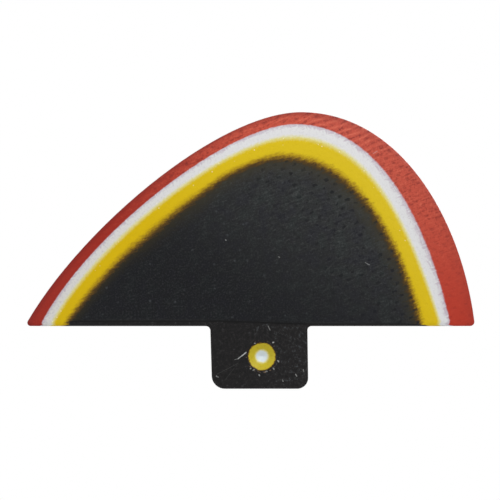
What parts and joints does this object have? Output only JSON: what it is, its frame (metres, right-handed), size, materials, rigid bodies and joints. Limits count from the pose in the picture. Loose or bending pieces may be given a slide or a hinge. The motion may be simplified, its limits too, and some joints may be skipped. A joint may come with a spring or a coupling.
{
  "type": "surfboard fin",
  "caption": "Surfboard keel fin: a swept blade foiled from coloured glass-fibre plies, with a centre tab that plugs into the board's fin box.",
  "frame": {"origin": "middle of the tab's length and thickness, on the plane where the blade's base seats on the board", "axes": "+X aft, from leading edge to trailing edge; +Y across the blade, away from the face with the screw dimple; +Z from the tab to the blade's tip"},
  "size_m": [0.1361, 0.0086, 0.0842],
  "materials": {
    "laminate": "sanded glass-fibre laminate, satin; red core, white, yellow and black plies laid open in bands by the foil"
  },
  "bodies": {
    "root": {"fin": "laminate"}
  },
  "joints": []
}
